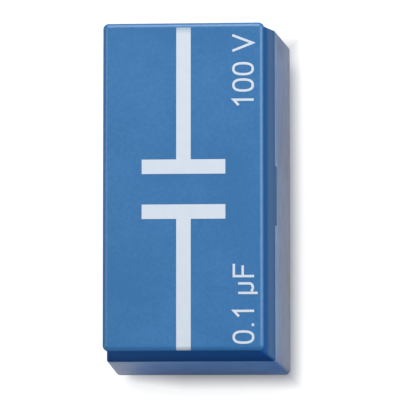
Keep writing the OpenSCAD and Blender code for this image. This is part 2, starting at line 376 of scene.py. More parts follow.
def joined_by(operation: str, reflected: bool = False) -> Callable[["Wire", Any], "Wire"]:
    """Makes a method that joins a wire and a value by one Math node.

    Args:
        operation: Name of the node's operation.
        reflected: Whether the value comes first.

    Returns:
        The method.
    """

    def join(wire: "Wire", other: Any) -> "Wire":
        """Adds the node.

        Args:
            wire: The method's own wire.
            other: A wire or a number.

        Returns:
            The node's output.
        """
        node = wire.tree.nodes.new("ShaderNodeMath")
        node.operation = operation
        for socket, value in zip(node.inputs, (other, wire) if reflected else (wire, other)):
            plug(socket, value)
        return Wire(wire.tree, node.outputs[0])

    return join


class Wire:
    """A value in a shader: the output of a node, which operators join by Math nodes."""

    __add__, __radd__ = joined_by("ADD"), joined_by("ADD", reflected=True)
    __sub__, __rsub__ = joined_by("SUBTRACT"), joined_by("SUBTRACT", reflected=True)
    __mul__, __rmul__ = joined_by("MULTIPLY"), joined_by("MULTIPLY", reflected=True)
    __truediv__, __rtruediv__ = joined_by("DIVIDE"), joined_by("DIVIDE", reflected=True)
    __pow__, __rpow__ = joined_by("POWER"), joined_by("POWER", reflected=True)
    least, most = joined_by("MINIMUM"), joined_by("MAXIMUM")

    def __init__(self, tree: bpy.types.NodeTree, socket: bpy.types.NodeSocket) -> None:
        """Wraps one output socket of a tree."""
        self.tree = tree
        self.socket = socket

    def held(self) -> "Wire":
        """The value, kept from 0 to 1."""
        return self.least(1.0).most(0.0)

    def past(self, start: float, gain: float) -> "Wire":
        """How far the value lies past a start, times a gain."""
        return (self - start) * gain

    def swing(self, amount: float) -> "Wire":
        """A noise's swing to both sides of its mean, times an amount."""
        return self.past(NOISE_MEAN, amount)


def plug(socket: bpy.types.NodeSocket, value: Any) -> None:
    """Links a wire to an input, or sets the input to a plain value.

    Args:
        socket: The input.
        value: A wire, a number, a vector, or a colour of three numbers.
    """
    if isinstance(value, Wire):
        value.tree.links.new(value.socket, socket)
    elif isinstance(value, tuple) and len(value) == 3 and socket.type == "RGBA":
        socket.default_value = (*value, 1.0)
    else:
        socket.default_value = value


class Graph:
    """The node tree of a material or a world."""

    def __init__(self, owner: bpy.types.ID) -> None:
        """Empties the node tree of its owner.

        Args:
            owner: A material or a world.
        """
        owner.use_nodes = True
        self.tree = owner.node_tree
        self.tree.nodes.clear()

    def node(self, kind: str, settings: dict[str, Any] | None = None, inputs: dict[Any, Any] | None = None,
             output: str | int = 0) -> Wire | None:
        """Adds a node.

        Args:
            kind: The node's type.
            settings: Properties, set before the sockets.
            inputs: Values or wires, by the input's name or number.
            output: Name or number of the output that is wanted.

        Returns:
            That output, or None where the node has none.
        """
        node = self.tree.nodes.new(kind)
        for name, value in (settings or {}).items():
            setattr(node, name, value)
        for name, value in (inputs or {}).items():
            plug(self._socket(node.inputs, name), value)
        return Wire(self.tree, self._socket(node.outputs, output)) if node.outputs else None

    @staticmethod
    def _socket(sockets: Any, name: str | int) -> bpy.types.NodeSocket:
        """Finds a socket.

        Args:
            sockets: A node's inputs or outputs.
            name: Name or number of the socket.

        Returns:
            The enabled socket of that name, or the socket of that number.
        """
        if isinstance(name, int):
            return sockets[name]
        return next(s for s in sockets if s.name == name and s.enabled)

    def place(self) -> Wire:
        """The surface point, in the piece's own coordinates."""
        return self.node("ShaderNodeTexCoord", output="Object")

    def axis(self, vector: Wire, axis: str) -> Wire:
        """One coordinate of a vector."""
        return self.node("ShaderNodeSeparateXYZ", inputs={"Vector": vector}, output=axis)

    def stretched(self, scale: Colour) -> Wire:
        """The surface point with each coordinate times a number of its own."""
        inputs = {"Vector": self.place(), "Scale": scale}
        return self.node("ShaderNodeMapping", {"vector_type": "POINT"}, inputs)

    def noise(self, size_mm: float, detail: float = 2.0, vector: Wire | None = None) -> Wire:
        """Soft noise about its mean, with spots of a given size."""
        inputs = {"Vector": vector or self.place(), "Scale": 1 / (size_mm * MM), "Detail": detail}
        return self.node("ShaderNodeTexNoise", inputs=inputs)

    def mix(self, factor: Any, first: Any, second: Any) -> Wire:
        """A colour between two.

        Args:
            factor: 0 for the first colour, 1 for the second.
            first: A wire or a colour.
            second: Another.

        Returns:
            The mixed colour.
        """
        settings = {"data_type": "RGBA", "clamp_factor": True}
        inputs = {"Factor": factor, "A": first, "B": second}
        return self.node("ShaderNodeMix", settings, inputs, output="Result")

    def bump(self, height: Wire, depth_mm: float) -> Wire:
        """A normal bent by a height, which is depth_mm deep from 0 to 1."""
        inputs = {"Height": height, "Distance": depth_mm * MM, "Strength": 1.0}
        return self.node("ShaderNodeBump", inputs=inputs)

    def blend(self, factor: Wire, first: Wire, second: Wire) -> Wire:
        """A shader between two."""
        return self.node("ShaderNodeMixShader", inputs={0: factor, 1: first, 2: second})

    def principled(self, **inputs: Any) -> Wire:
        """The main shader, with inputs spelt with underscores."""
        named = {name.replace("_", " "): value for name, value in inputs.items()}
        return self.node("ShaderNodeBsdfPrincipled", inputs=named)


@dataclass(frozen=True)
class Finish:
    """A finish that dresses pieces: one material."""

    name: str

    def surface(self, graph: Graph) -> Wire:
        """Builds the finish's shader."""
        raise NotImplementedError

    def outputs(self, graph: Graph) -> dict[str, Wire]:
        """What the material puts out, by the name of the output."""
        return {"Surface": self.surface(graph)}

    def material(self) -> bpy.types.Material:
        """Makes the material.

        Returns:
            The new material.
        """
        material = bpy.data.materials.new(self.name)
        graph = Graph(material)
        graph.node("ShaderNodeOutputMaterial", inputs=self.outputs(graph))
        return material


@dataclass(frozen=True)
class Mottle:
    """Soft spots that shift a finish's colour and gloss."""

    size_mm: float
    start: float
    gain: float
    gloss: float
    detail: float = 3.0

    def over(self, graph: Graph, first: Colour, second: Colour) -> tuple[Wire, Wire]:
        """Lays the spots over a surface.

        Args:
            graph: The material's node tree.
            first: Colour where the noise is low.
            second: Colour where it is high.

        Returns:
            The mottled colour, and the swing of the gloss.
        """
        spots = graph.noise(self.size_mm, self.detail)
        return graph.mix(spots.past(self.start, self.gain), first, second), spots.swing(self.gloss)


@dataclass(frozen=True)
class MouldedPlastic(Finish):
    """Satin plastic: a smooth top with a painted highlight round its edges and painted light on its front
    edge, and matt walls, darker partly as painted shade, with a painted lighter belt and painted shade along
    the lower edge.

    Heights count from the seam. Facing is the upward part of the surface's normal: 1 on the top, 0 on a wall.
    """

    colour: Colour
    drift: Colour
    # The walls' colour is darker than the top's, partly as painted shade on the sides and the outer part of
    # the top's rounded edge.
    wall: Colour
    # Colour of a painted light belt: the long walls turn paler below the lip's shade.
    painted_light_belt: Colour
    # Colour of the painted shade along the lower edge, by the seam with the base.
    edge: Colour
    roughness: float
    wall_roughness: float
    seam_z: float
    ior: float = 1.5
    shine: float = 0.7
    wall_shine: float = 0.03
    wall_facing: float = 0.62
    wall_gain: float = 4.0
    # Painted highlight: the top turns to this paler blue in a band of slant round its rounded edges.
    bare: Colour = (0.06, 0.205, 0.43)
    highlight_facing: float = 0.87
    highlight_gain: float = 7.0
    highlight_share: float = 0.3
    edge_polish: float = 0.12
    # Painted light: a paler blue on the top's front edge and on walls that face front and up.
    front_edge_light: Colour = (0.03, 0.22, 0.58)
    front_edge_light_share: float = 0.5
    belt_mm: float = 7.6
    belt_fade_mm: float = 3.6
    belt_least: float = 0.17
    edge_mm: float = 2.4
    seam_shade_fade_mm: float = 0.8
    seam_shade_share: float = 0.15
    end_edge_mm: float = 9.0
    tab_fade_mm: float = 0.25
    drift_mm: float = 9.0
    drift_from: float = 0.35
    drift_gain: float = 1.4
    drift_gloss: float = 0.08
    grain_mm: float = 0.12
    grain_depth: float = 0.004
    speck_mm: float = 0.48
    speck_swing: float = 1.2
    speck_gloss: float = 0.06
    speck_depth: float = 0.5

    def wall_colour(self, graph: Graph, long_side: Wire) -> Wire:
        """Colours the walls: a painted lighter belt round the long sides, and painted shade along the lower
        edge that is taller on the ends.

        Args:
            graph: The material's node tree.
            long_side: 1 on the long sides, 0 on the ends.

        Returns:
            The walls' colour.
        """
        height = graph.axis(graph.place(), "Z") / MM - self.seam_z
        # Painted light: a paler belt on the long sides below the lip's shade, fading up towards the lip.
        belt = (self.belt_mm - height) / self.belt_fade_mm + 0.5
        belt = belt.least(1.0).most(self.belt_least) * long_side
        # Painted shade: a dark line along the seam on the long sides, and on the ends a darkening that grows
        # towards the seam.
        side_seam_shade = ((self.edge_mm - height) / self.seam_shade_fade_mm + 0.5).held() * long_side * self.seam_shade_share
        end_shade = (1.0 - height / self.end_edge_mm).held() * (1.0 - long_side)
        edge = (side_seam_shade + end_shade).least(height / self.tab_fade_mm + 1.0).most(0.0)
        return graph.mix(edge, graph.mix(belt, self.wall, self.painted_light_belt), self.edge)

    def surface(self, graph: Graph) -> Wire:
        """Blends the smooth top into the matt walls, with one fine grain over both.

        The lip's painted light on the front edge has a share that is the sine of twice the slant of a surface
        that faces front and up, so it is greatest half-way round the front edge of the top.

        Args:
            graph: The material's node tree.

        Returns:
            The shader.
        """
        cloud = graph.noise(self.drift_mm, detail=3.0)
        grain = graph.noise(self.grain_mm)
        speck = graph.noise(self.speck_mm)
        facing = graph.node("ShaderNodeTexCoord", output="Normal")
        across, along, upward = (graph.axis(facing, axis) for axis in "XYZ")
        # Painted highlight: a band of slant round the top's edges is made paler and a little less rough.
        off_highlight = (upward - self.highlight_facing).most(self.highlight_facing - upward)
        worn = (1.0 - off_highlight * self.highlight_gain).most(0.0)
        # Painted light: the top's front edge, and walls that face front and up, are lightened towards a paler
        # blue.
        lip = (along * upward * -2.0).most(0.0) * self.front_edge_light_share
        top = graph.mix(cloud.past(self.drift_from, self.drift_gain) + speck.swing(self.speck_swing),
                        self.colour, self.drift)
        top = graph.mix(lip, graph.mix(worn * self.highlight_share, top, self.bare), self.front_edge_light)
        wall = graph.mix(lip, self.wall_colour(graph, across * across), self.front_edge_light)
        gloss = cloud.swing(self.drift_gloss) + speck.swing(self.speck_gloss)
        normal = graph.bump(grain + speck * self.speck_depth, self.grain_depth)
        smooth = graph.principled(Base_Color=top, Roughness=gloss + self.roughness - worn * self.edge_polish,
                                  IOR=self.ior, Specular_IOR_Level=self.shine, Normal=normal)
        matt = graph.principled(Base_Color=wall, Roughness=gloss + self.wall_roughness,
                                IOR=self.ior, Specular_IOR_Level=self.wall_shine, Normal=normal)
        return graph.blend(((self.wall_facing - upward) * self.wall_gain).held(), smooth, matt)


@dataclass(frozen=True)
class ClearPlastic(Finish):
    """Smoky clear plastic: mottled, with painted shade that deepens its tone towards the foot, a rougher rim
    painted paler as a highlight, and painted shade along the bottom edge.

    Heights count from the foot. Light takes the plastic's tint on long ways through it.
    """

    tint: Colour
    # Dark tint that serves as painted shade towards the foot and as random mottle everywhere.
    shade_and_mottle_tint: Colour
    # Colour of the painted light at the rim: a paler layer just below the seam.
    rim_light: Colour
    depth_colour: Colour
    depth_density: float
    roughness: float
    rim_z: float
    ior: float = 1.49
    shadow: Colour = (0.45, 0.48, 0.54)
    foot_shade_mm: float = 7.0
    mottle_mm: float = 2.4
    mottle_from: float = 0.34
    mottle_gain: float = 1.2
    rim_mm: float = 5.0
    rim_light_share: float = 0.5
    frost_roughness: float = 0.6
    # Colour of the painted shade along the bottom edge.
    film: Colour = (0.035, 0.07, 0.15)
    bottom_shade_mm: float = 2.6
    bottom_shade_share: float = 0.45
    bottom_shade_gain: float = 4.0
    scuff_mm: float = 0.5
    scuff_gloss: float = 0.05
    flow_mm: float = 6.0
    flow_depth: float = 0.004

    def surface(self, graph: Graph) -> Wire:
        """Blends a clear body into a paler, rougher layer at the rim as painted light and a dark one at the
        foot as painted shade, and lets lamplight through.

        Args:
            graph: The material's node tree.

        Returns:
            The shader.
        """
        flow = graph.noise(self.flow_mm)
        scuff = graph.noise(self.scuff_mm, detail=4.0)
        mottle = graph.noise(self.mottle_mm, detail=4.0)
        height = graph.axis(graph.place(), "Z") / MM
        # Painted shade: the tint darkens towards the foot, and random mottle adds darker spots of the same
        # tint.
        foot = (1.0 - height / self.foot_shade_mm).most(0.0) + mottle.past(self.mottle_from, self.mottle_gain)
        # Painted light at the rim: a paler, rougher layer is mixed in just below the seam.
        rim = (1.0 + (height - self.rim_z) / self.rim_mm).most(0.0) * self.rim_light_share
        # Painted shade: a dark layer mixed in over the lowest few millimetres.
        low = (1.0 - height / self.bottom_shade_mm).most(0.0) * self.bottom_shade_share
        tint = graph.mix(foot, self.tint, self.shade_and_mottle_tint)
        clear = graph.principled(Base_Color=tint, Roughness=self.roughness + scuff.swing(self.scuff_gloss),
                                 IOR=self.ior, Transmission_Weight=1.0,
                                 Normal=graph.bump(flow, self.flow_depth))
        painted_rim_and_bottom = graph.principled(Base_Color=graph.mix(low * self.bottom_shade_gain, self.rim_light, self.film),
                                  Roughness=self.frost_roughness, IOR=self.ior)
        body = graph.blend(rim + low, clear, painted_rim_and_bottom)
        lamp_way = graph.node("ShaderNodeBsdfTransparent", inputs={"Color": self.shadow})
        is_shadow = graph.node("ShaderNodeLightPath", output="Is Shadow Ray")
        return graph.blend(is_shadow, body, lamp_way)

    def outputs(self, graph: Graph) -> dict[str, Wire]:
        """The surface, and an inside that tints long ways."""
        inputs = {"Color": self.depth_colour, "Density": self.depth_density}
        return {**super().outputs(graph), "Volume": graph.node("ShaderNodeVolumeAbsorption", inputs=inputs)}


@dataclass(frozen=True)
class PrintInk(Finish):
    """Screen-printed ink: pale, flat, a little thin in places, and fading into the colour below towards the
    rear edge.
    """

    colour: Colour
    thin: Colour
    under: Colour
    rear_fade_from: float = 21.3
    rear_fade_mm: float = 2.0
    rear_fade_most: float = 0.5
    spots: Mottle = Mottle(1.6, start=0.4, gain=1.6, gloss=0.1, detail=4.0)
    roughness: float = 0.5
    weave_mm: float = 0.09
    weave_depth: float = 0.002
    ior: float = 1.45

    def surface(self, graph: Graph) -> Wire:
        """Mixes thin spots and the colour below at the rear edge into the ink, over a fine screen weave.

        Args:
            graph: The material's node tree.

        Returns:
            The shader.
        """
        ink, gloss = self.spots.over(graph, self.colour, self.thin)
        weave = graph.noise(self.weave_mm, detail=1.0)
        along = graph.axis(graph.place(), "Y") / MM
        # The print turns part of the way to the colour below towards the rear edge.
        rear_fade = ((along - self.rear_fade_from) / self.rear_fade_mm).least(self.rear_fade_most).most(0.0)
        return graph.principled(Base_Color=graph.mix(rear_fade, ink, self.under),
                                Roughness=self.roughness + gloss, IOR=self.ior,
                                Normal=graph.bump(weave, self.weave_depth))


@dataclass(frozen=True)
class PlatedMetal(Finish):
    """Plated metal with tool marks across an axis and a mottle in its plating."""

    colour: Colour
    dull: Colour
    roughness: float
    marks: Colour = (0.0, 0.0, 1.0)
    mark_mm: float = 0.12
    mark_depth: float = 0.004
    mark_gloss: float = 0.10
    mottle: Mottle = Mottle(1.2, start=0.35, gain=2.0, gloss=0.16, detail=4.0)

    def surface(self, graph: Graph) -> Wire:
        """Runs the marks along the stretched coordinates, and lets the mottle shift colour and gloss.

        Args:
            graph: The material's node tree.

        Returns:
            The shader.
        """
        lines = graph.noise(self.mark_mm, detail=3.0, vector=graph.stretched(self.marks))
        colour, gloss = self.mottle.over(graph, self.colour, self.dull)
        return graph.principled(Base_Color=colour, Metallic=1.0,
                                Roughness=self.roughness + gloss + lines.swing(self.mark_gloss),
                                Normal=graph.bump(lines, self.mark_depth))


@dataclass(frozen=True)
class FilmWrap(Finish):
    """Glossy film wound round the capacitor, with faint rings from the wraps and a seam along its length."""

    colour: Colour
    shade: Colour
    axis_z: float
    roughness: float = 0.26
    coat: float = 0.3
    ior: float = 1.5
    seam_mm: float = 0.5
    seam_rise: float = 2.0
    seam_share: float = 0.4
    ripple_mm: float = 1.1
    ripple_ways: Colour = (1.0, 0.25, 1.0)
    ripple_depth: float = 0.03
    cloud: Mottle = Mottle(3.0, start=0.3, gain=1.4, gloss=0.1)

    def surface(self, graph: Graph) -> Wire:
        """Bends slow ripples round the wrap and raises a seam on its +X side, over a clouded colour.

        The seam's height is one less the square of the way from its middle in seam widths, and at least 0.

        Args:
            graph: The material's node tree.

        Returns:
            The shader.
        """
        ripple = graph.noise(self.ripple_mm, vector=graph.stretched(self.ripple_ways))
        across, height = (graph.axis(graph.place(), axis) for axis in "XZ")
        from_seam = (height - self.axis_z * MM).most(0.0) / (self.seam_mm * MM) - self.seam_rise
        seam = (1.0 - from_seam * from_seam).most(0.0) * (across * STEP_GAIN).held()
        colour, gloss = self.cloud.over(graph, self.colour, self.shade)
        return graph.principled(Base_Color=colour, Roughness=self.roughness + gloss,
                                IOR=self.ior, Coat_Weight=self.coat,
                                Normal=graph.bump(ripple + seam * self.seam_share, self.ripple_depth))


@dataclass(frozen=True)
class CastResin(Finish):
    """Cast amber resin with a slightly uneven skin."""

    colour: Colour
    deep: Colour
    roughness: float = 0.2
    ior: float = 1.55
    cloud: Mottle = Mottle(1.0, start=0.3, gain=1.6, gloss=0.12)
    skin_mm: float = 0.8
    skin_depth: float = 0.05

    def surface(self, graph: Graph) -> Wire:
        """Clouds the amber under a glossy, softly uneven skin.

        Args:
            graph: The material's node tree.

        Returns:
            The shader.
        """
        skin = graph.noise(self.skin_mm, detail=1.0)
        colour, gloss = self.cloud.over(graph, self.colour, self.deep)
        return graph.principled(Base_Color=colour, Roughness=self.roughness + gloss,
                                IOR=self.ior, Normal=graph.bump(skin, self.skin_depth))


# The part's sub-assemblies


def dress(piece: bpy.types.Object, material: bpy.types.Material) -> None:
    """Gives a piece its material and its slot of the record, and reports it.

    Args:
        piece: A new piece or a CAD node's object.
        material: The material that it wears.
    """
    if piece.material_slots:
        for worn in piece.material_slots:
            worn.material = material
    else:
        piece.data.materials.append(material)
    LOG.info("%s: %d faces, %s", piece.name, len(piece.data.polygons), material.name)


@dataclass
class HousingFit:
    """Sizes that the cover and the base share at their seam."""

    foot: Array = top_field("base_housing", np.s_[:2])
    base_h: float = top_field("base_housing", 2)
    top_z: float = top_field("cover", 2)
    tongue_z: float = foot_field("cover")
    floor_t: float = foot_field("flat_washer_front")
    base_draft: float = 1.1
    rim_wall: float = 1.8
    rim_step: float = 0.05
    core_draft: float = 0.15
    pocket_corner_r: float = 1.0
    seam_edge_r: float = 0.25
    tab_l: float = 8.4
    tab_h: float = 2.3
    bead_r: float = 0.6
    bead_out: float = 0.3
    bead_l: float = 8.0
    bead_from_tab: float = 3.0
    bead_rise: float = 1.5
    bead_steps: int = 8
    snap_gap: float = 0.1
    hair_gap: float = 0.02

    def __post_init__(self) -> None:
        """Works out the sizes that follow from the fields.

        They are the half sizes of the base's rim and mouth, the place of the beads' axis, the distances along
        the rim from the middle to a bead's near and far end, and the slope of the base's outer wall.
        """
        self.rim = self.foot - self.base_draft
        self.mouth = self.rim - self.rim_wall
        self.bead_z = self.tongue_z + self.bead_rise
        self.bead_x = self.pocket(self.bead_z)[0] - self.snap_gap + self.bead_out - self.bead_r
        self.bead_near = self.tab_l / 2 + self.bead_from_tab
        self.bead_far = self.bead_near + self.bead_l
        self.lean = self.base_draft / self.base_h

    def pocket(self, height: float) -> Array:
        """Half sizes of the base's pocket at a height."""
        inset = self.core_draft * (self.base_h - height) / (self.base_h - self.floor_t)
        return self.mouth - inset

    def bead_heights(self, grow: float) -> Array:
        """Rising heights over which a bead, or its groove, stands out of the wall.

        Args:
            grow: 0 for a bead, or the clearance that widens it into a groove.

        Returns:
            The heights.
        """
        wall_x = self.pocket(self.bead_z)[0] - (self.snap_gap if grow == 0 else 0)
        radius = self.bead_r + grow
        reach = math.sqrt(radius**2 - (wall_x - self.bead_x) ** 2)
        return self.bead_z + reach * np.linspace(-1, 1, self.bead_steps + 1)

    def shape_sides(self, rings: Array, stations: Array, outline: Outline, grow: float) -> None:
        """Lowers a housing's seam at the tabs and swells its wall at the beads.

        At a tab, a station that has a share in it sinks by the tab's height and moves out along the leaning
        wall. At a bead, the wall moves out to the bead's circle: its axis plus the root of its radius squared
        less the height above the axis squared.

        Args:
            rings: Points of the housing, changed in place.
            stations: Its stations.
            outline: Its columns.
            grow: Clearance that widens tabs and beads into notches and grooves.
        """
        station_z, tab_share, bead_share = (column[:, None] for column in stations.T[3:])
        drop = tab_share * (self.tab_h + grow)
        tab = outline.on_sides(0, self.tab_l / 2 + grow)
        rings[..., 2] -= drop * np.abs(tab)
        rings[..., 0] += drop * tab * self.lean
        bead = outline.on_sides(self.bead_near - grow, self.bead_far + grow)
        rise = station_z - self.bead_z
        circle = self.bead_x + np.sqrt(np.maximum((self.bead_r + grow) ** 2 - rise**2, 0))
        swollen = bead * np.maximum(np.abs(rings[..., 0]), circle)
        swells = (bead_share > 0.5) & (bead != 0)
        rings[..., 0] = np.where(swells, swollen, rings[..., 0])

    def side_columns(self, grow: float) -> Array:
        """Places along the long sides where a tab, a bead, or its notch or groove begins and ends."""
        return stepped_columns(self.tab_l / 2 + grow, self.bead_near - grow, self.bead_far + grow)


@dataclass
class Cover:
    """The blue cover: top plate with a lip, flared skirt, tongue, tabs and snap beads."""

    fit: HousingFit
    draft: Array = field(default_factory=lambda: np.array([0.9, 1.0]))
    plate_t: float = 2.0
    lip: Array = field(default_factory=lambda: np.array([0.5, 0.05]))
    lip_edge_r: float = 0.12
    plate_corner_r: float = 0.75
    plate_edge_r: float = 0.7
    plate_edge_steps: int = 10
    skirt_corner_r: float = 0.35
    tongue_t: float = 1.2
    tongue_edge: float = 0.15

    @property
    def face(self) -> Array:
        """Half sizes of the top plate."""
        return self.fit.rim - self.draft

    @property
    def flat(self) -> Array:
        """Half sizes of the top plate's flat face, inside its rounded edge."""
        return self.face - self.plate_edge_r

    def stations(self) -> Array:
        """Stations of the skin: down the inside, round the tongue, up the skirt, and over the lip and edge.

        Returns:
            Stations, one to a row.
        """
        fit = self.fit
        seam_z = fit.base_h + fit.hair_gap
        seam_edge_z = seam_z + fit.seam_edge_r
        plate_z = fit.top_z - self.plate_t
        lip_z = plate_z + self.lip_edge_r
        plate_edge_z = fit.top_z - self.plate_edge_r
        flat_corner_r = LEAST_R + self.plate_corner_r - self.plate_edge_r
        corner = fit.pocket_corner_r
        tip = fit.pocket(fit.tongue_z) - fit.snap_gap
        inside = tip - self.tongue_t
        edge = self.tongue_edge
        seat = fit.rim - fit.rim_step
        neck = self.face - self.lip
        beads = [level(fit.pocket(z) - fit.snap_gap, corner, z, bead=1) for z in fit.bead_heights(0)]
        return np.concatenate([
            level(inside - fit.core_draft, corner, plate_z),
            level(inside, corner, fit.tongue_z + edge),
            level(inside + edge, corner + edge, fit.tongue_z),
            level(tip - edge, corner, fit.tongue_z),
            level(tip, corner, fit.tongue_z + edge),
            *beads,
            level(fit.mouth - fit.snap_gap, corner, seam_z, drop=1),
            rounded_edge(seat, self.skirt_corner_r, fit.seam_edge_r, seam_edge_z, -90, 0, drop=1),
            level(seat, self.skirt_corner_r, seam_edge_z + fit.hair_gap),
            level(neck, self.skirt_corner_r, plate_z),
            rounded_edge(self.face, self.plate_corner_r, self.lip_edge_r, lip_z, -90, 0),
            rounded_edge(self.face, self.plate_corner_r, self.plate_edge_r, plate_edge_z, 0, 90,
                         steps=self.plate_edge_steps),
            level(self.flat - SUPPORT_GAP, flat_corner_r, fit.top_z),
        ])

    def build(self, material: bpy.types.Material) -> None:
        """Builds and dresses the cover.

        Args:
            material: Its material.
        """
        stations = supported(self.stations())
        outline = Outline(self.fit.side_columns(0))
        rings = outline.levels(stations)
        self.fit.shape_sides(rings, stations, outline, 0)
        skin = Patchwork()
        skin.add_bar(rings)
        piece = skin.to_object("blue_cover")
        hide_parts("cover")
        dress(piece, material)


@dataclass
class BaseHousing:
    """The clear base: drafted walls, a floor with two stepped bores, and a rim with notches and grooves."""

    fit: HousingFit
    foot_corner_r: float = 0.85
    rim_corner_r: float = 0.3
    foot_edge_r: float = 0.4
    floor_edge_r: float = 0.4
    plug_y: float = field(default_factory=lambda: middle_mm("plug_pin_rear")[1])
    collar_r: float = 4.1
    collar_t: float = 1.2
    bore_r: float = 2.1
    bore_steps: int = 64

    @property
    def floor_z(self) -> float:
        """Height of the pocket's floor."""
        return self.fit.floor_t - self.fit.hair_gap

    def stations(self) -> Array:
        """Stations of the skin: round the foot, up the wall, over the rim and down the pocket to the floor.

        Returns:
            Stations, one to a row.
        """
        fit = self.fit
        corner = fit.pocket_corner_r
        bottom = fit.pocket(self.floor_z)
        edge = self.floor_edge_r
        foot_edge = self.foot_edge_r
        rim_edge_z = fit.base_h - fit.seam_edge_r
        grooves = [level(fit.pocket(z), corner, z, bead=1) for z in fit.bead_heights(fit.snap_gap)[::-1]]
        hollow = rounded_edge(bottom, corner, edge, 0, 0, 90)
        hollow[:, 3] = self.floor_z + edge - hollow[:, 3]
        return np.concatenate([
            level(fit.foot - foot_edge - SUPPORT_GAP, self.foot_corner_r - foot_edge, 0),
            rounded_edge(fit.foot, self.foot_corner_r, foot_edge, foot_edge, -90, 0),
            rounded_edge(fit.rim, self.rim_corner_r, fit.seam_edge_r, rim_edge_z, 0, 90, drop=1),
            level(fit.mouth + fit.hair_gap, corner, fit.base_h, drop=1),
            level(fit.mouth, corner, fit.base_h - fit.hair_gap, drop=1),
            *grooves,
            hollow,
            level(bottom - edge - SUPPORT_GAP, corner - edge, self.floor_z),
        ])

    def bore(self, end: End) -> Array:
        """Rings of one stepped bore: down from the floor, out under it and down to the foot.

        Args:
            end: The end whose bore it is.

        Returns:
            Points, rings by columns by 3, each ring from its -Y point anticlockwise.
        """
        step_z = self.collar_t + self.fit.hair_gap
        radius = np.array([self.bore_r, self.bore_r, self.collar_r, self.collar_r])[:, None]
        height = np.array([self.floor_z, step_z, step_z, 0.0])[:, None]
        angle = np.arange(self.bore_steps) / self.bore_steps * TURN - np.pi / 2
        x = radius * np.cos(angle)
        y = radius * np.sin(angle) + end.value * self.plug_y
        return np.stack([x, y, height + 0 * x], axis=-1)

    def pierced(self, skin: Patchwork, outline: Outline, ring: Array, bores: dict[End, Array],
                up: bool) -> None:
        """Closes a level by two faces that meet on the row of plugs, with half of each bore cut out of both.

        Args:
            skin: The piece's surface.
            outline: Its columns.
            ring: Point numbers of the level.
            bores: Point numbers of each bore's ring there.
            up: Whether the faces look up.
        """
        near, far = outline.end_middle(End.FRONT), outline.end_middle(End.REAR)
        half = self.bore_steps // 2
        wide = {end: np.append(numbers, numbers[:1]) for end, numbers in bores.items()}
        right_side = np.roll(ring, -near)[: (far - near) % len(ring) + 1]
        left_side = np.roll(ring, -far)[: (near - far) % len(ring) + 1]
        right = [right_side, wide[End.REAR][half::-1], wide[End.FRONT][half::-1]]
        left = [left_side, wide[End.FRONT][: half - 1 : -1], wide[End.REAR][: half - 1 : -1]]
        for sides in (right, left):
            face = np.concatenate(sides)
            skin.add_face(face if up else face[::-1])

    def build(self, material: bpy.types.Material) -> None:
        """Builds and dresses the base.

        Args:
            material: Its material.
        """
        stations = supported(self.stations())
        outline = Outline(self.fit.side_columns(self.fit.snap_gap))
        rings = outline.levels(stations)
        self.fit.shape_sides(rings, stations, outline, self.fit.snap_gap)
        skin = Patchwork()
        numbers = skin.add_loft(rings)
        bores = {end: skin.add_loft(self.bore(end)) for end in End}
        self.pierced(skin, outline, numbers[0], {end: ring[-1] for end, ring in bores.items()}, up=False)
        self.pierced(skin, outline, numbers[-1], {end: ring[0] for end, ring in bores.items()}, up=True)
        piece = skin.to_object("clear_base")
        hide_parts("base_housing")
        dress(piece, material)


@dataclass(frozen=True)
class Stroke:
    """One stroke of a character: points with a place along the line and a height above it."""

    path: Array
    looped: bool = False


